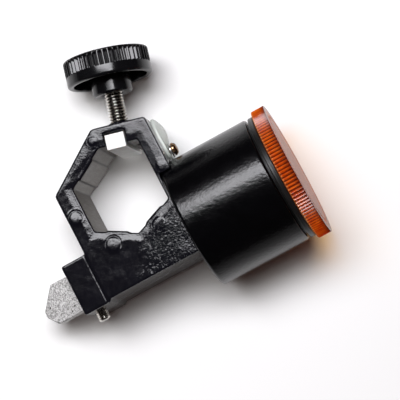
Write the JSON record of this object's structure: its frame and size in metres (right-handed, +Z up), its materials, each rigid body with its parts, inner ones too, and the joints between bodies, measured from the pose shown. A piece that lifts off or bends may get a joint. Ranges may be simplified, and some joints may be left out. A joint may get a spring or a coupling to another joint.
{
  "type": "rail glass cutter carriage",
  "caption": "Rail-guided glass cutter carriage with a clamp knob, an amber-capped oil pot, a magnifier over the rail scale and a replaceable wheel head.",
  "frame": {"origin": "centre of the rail bore, half way through the frame", "axes": "+Z up in use, from the cutting wheel to the oil pot; +Y along the rail; +X from the bore to the oil pot's side"},
  "size_m": [0.0896, 0.0458, 0.0948],
  "materials": {
    "cast_black_paint": "semi-gloss black paint over a die casting, with an orange-peel grain",
    "white_nylon": "satin",
    "nickel_screw": "bright nickel plate",
    "black_knob_plastic": "gloss",
    "clear_acrylic": "polished",
    "bronze_screw": "dark bronze plate",
    "zinc_washer": "bright zinc plate",
    "black_pot": "satin gloss with a fine grain",
    "wool_felt": "matte, oiled",
    "brass_fitting": "turned",
    "fibre_washer": "matte",
    "cotton_wick": "matte, braided",
    "amber_plastic": "translucent, moulded gloss",
    "black_rubber": "matte",
    "sintered_steel": "speckled satin, as cast",
    "carbide": "ground",
    "axle_steel": "ground"
  },
  "bodies": {
    "carriage": {"carriage_body": "cast_black_paint", "magnifier_lens": "clear_acrylic", "lens_screw": "bronze_screw", "lens_washer": "zinc_washer", "oil_pot": "black_pot", "felt_pad": "wool_felt", "outlet_screw": "brass_fitting", "outlet_washer": "fibre_washer", "wick": "cotton_wick"},
    "pad": {"pressure_pad": "white_nylon"},
    "knob": {"clamp_screw": "nickel_screw", "clamp_knob": "black_knob_plastic"},
    "gasket": {"cap_gasket": "black_rubber"},
    "cap": {"pot_cap": "amber_plastic"},
    "head": {"cutter_head": "sintered_steel", "wheel_axle": "axle_steel"},
    "wheel": {"cutting_wheel": "carbide"},
    "set_screw": {"head_set_screw": "nickel_screw"}
  },
  "joints": [
    {"name": "pad_slide", "type": "slide", "parent": "carriage", "child": "pad", "axis": [-0.9655, 0, 0.2605], "range_m": [-0.0032, 0.0003]},
    {"name": "knob_turn", "type": "hinge", "parent": "pad", "child": "knob", "pos_m": [-0.01818, 0, 0.00785], "axis": [-0.9655, 0, 0.2605], "range_deg": [-1150, 106]},
    {"name": "cap_lift", "type": "slide", "parent": "carriage", "child": "gasket", "axis": [0, 0, 1], "range_m": [-0.0003, 0.004]},
    {"name": "cap_turn", "type": "hinge", "parent": "gasket", "child": "cap", "pos_m": [0.0191, 0, 0.05], "axis": [0, 0, 1], "range_deg": [-52, 715]},
    {"name": "head_slide", "type": "slide", "parent": "carriage", "child": "head", "axis": [0, 0, -1], "range_m": [0, 0.0065]},
    {"name": "wheel_spin", "type": "hinge", "parent": "head", "child": "wheel", "pos_m": [0.02235, 0, -0.04], "axis": [1, 0, 0], "continuous": true},
    {"name": "set_screw_turn", "type": "hinge", "parent": "carriage", "child": "set_screw", "pos_m": [0.03, 0, -0.0249], "axis": [1, 0, 0], "range_deg": [-30, 720]}
  ],
  "couplings": [
    {"joint": "pad_slide", "follows": "knob_turn", "m_per_rad": 0.00015915},
    {"joint": "cap_lift", "follows": "cap_turn", "m_per_rad": 0.00031831}
  ]
}
